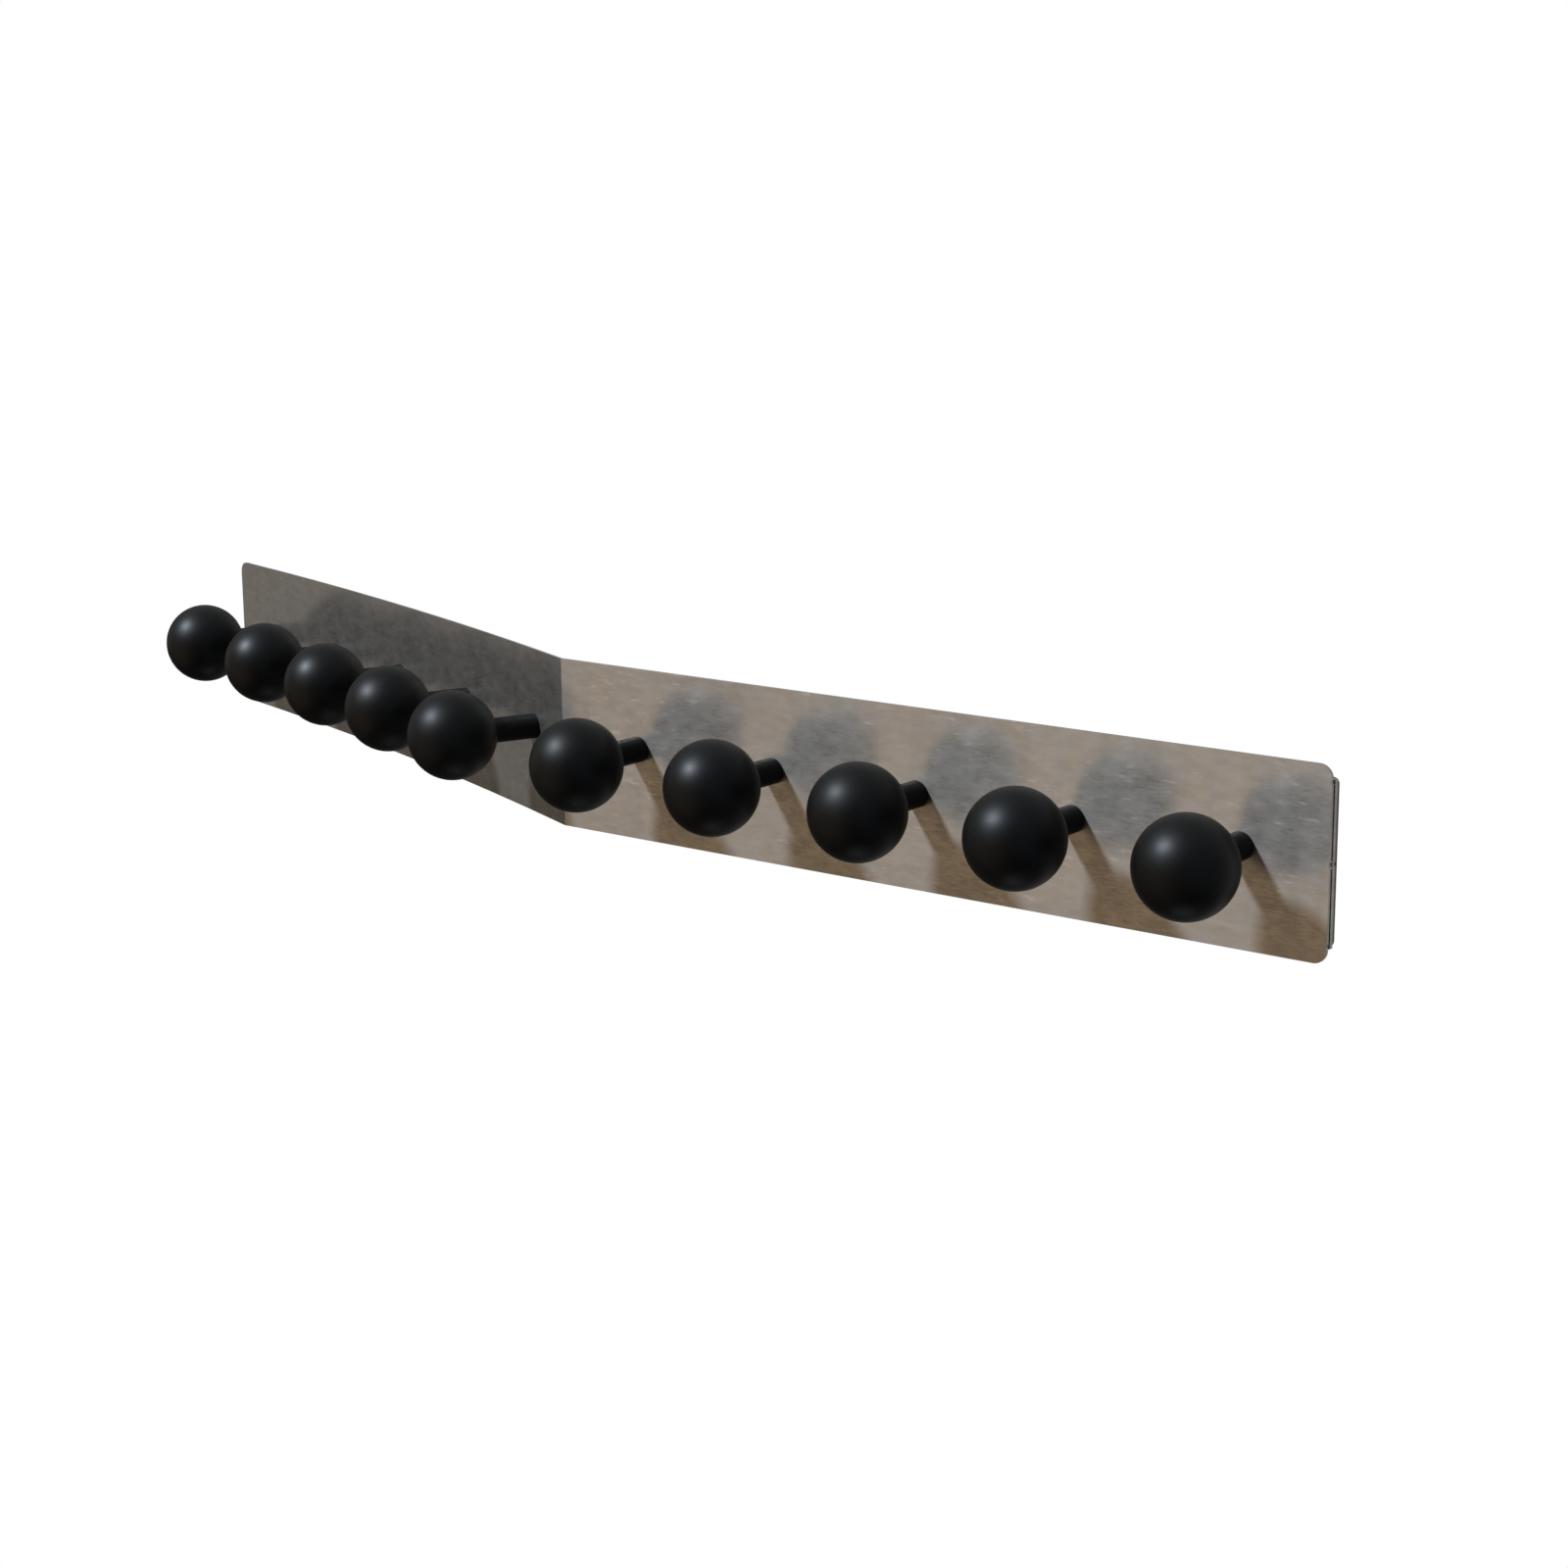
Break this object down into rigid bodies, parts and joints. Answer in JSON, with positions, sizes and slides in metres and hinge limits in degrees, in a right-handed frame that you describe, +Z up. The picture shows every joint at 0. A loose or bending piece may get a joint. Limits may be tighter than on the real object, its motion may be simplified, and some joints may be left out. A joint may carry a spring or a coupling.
{
  "type": "wall rack of ball knobs",
  "caption": "Long brushed metal strip with one shallow fold, wall plates behind it, and a row of black ball knobs on round pegs for hanging clothes and bags.",
  "frame": {"origin": "on the wall face behind the middle of the right wing, at mid height", "axes": "+X along the right wing away from the fold, +Y into the wall, +Z up"},
  "size_m": [0.8943, 0.2312, 0.094],
  "materials": {
    "brushed_sheet": "fine brushing along the strip, satin, with faint wiped blotches",
    "wall_plate_black": "matte black powder coat",
    "ball_black": "satin black, soft broad highlight",
    "peg_black": "matte black",
    "fastener_steel": "bright zinc",
    "spacer_grey": "plain moulded"
  },
  "bodies": {
    "root": {"front_plate": "brushed_sheet", "wall_plate_left": "wall_plate_black", "wall_plate_right": "wall_plate_black", "spacers": "spacer_grey", "peg_screws": "fastener_steel", "ball_studs": "fastener_steel", "peg_01": "peg_black", "peg_02": "peg_black", "peg_03": "peg_black", "peg_04": "peg_black", "peg_05": "peg_black", "peg_06": "peg_black", "peg_07": "peg_black", "peg_08": "peg_black", "peg_09": "peg_black", "peg_10": "peg_black", "ball_knob_01": "ball_black", "ball_knob_02": "ball_black", "ball_knob_03": "ball_black", "ball_knob_04": "ball_black", "ball_knob_05": "ball_black", "ball_knob_06": "ball_black", "ball_knob_07": "ball_black", "ball_knob_08": "ball_black", "ball_knob_09": "ball_black", "ball_knob_10": "ball_black"}
  },
  "joints": []
}
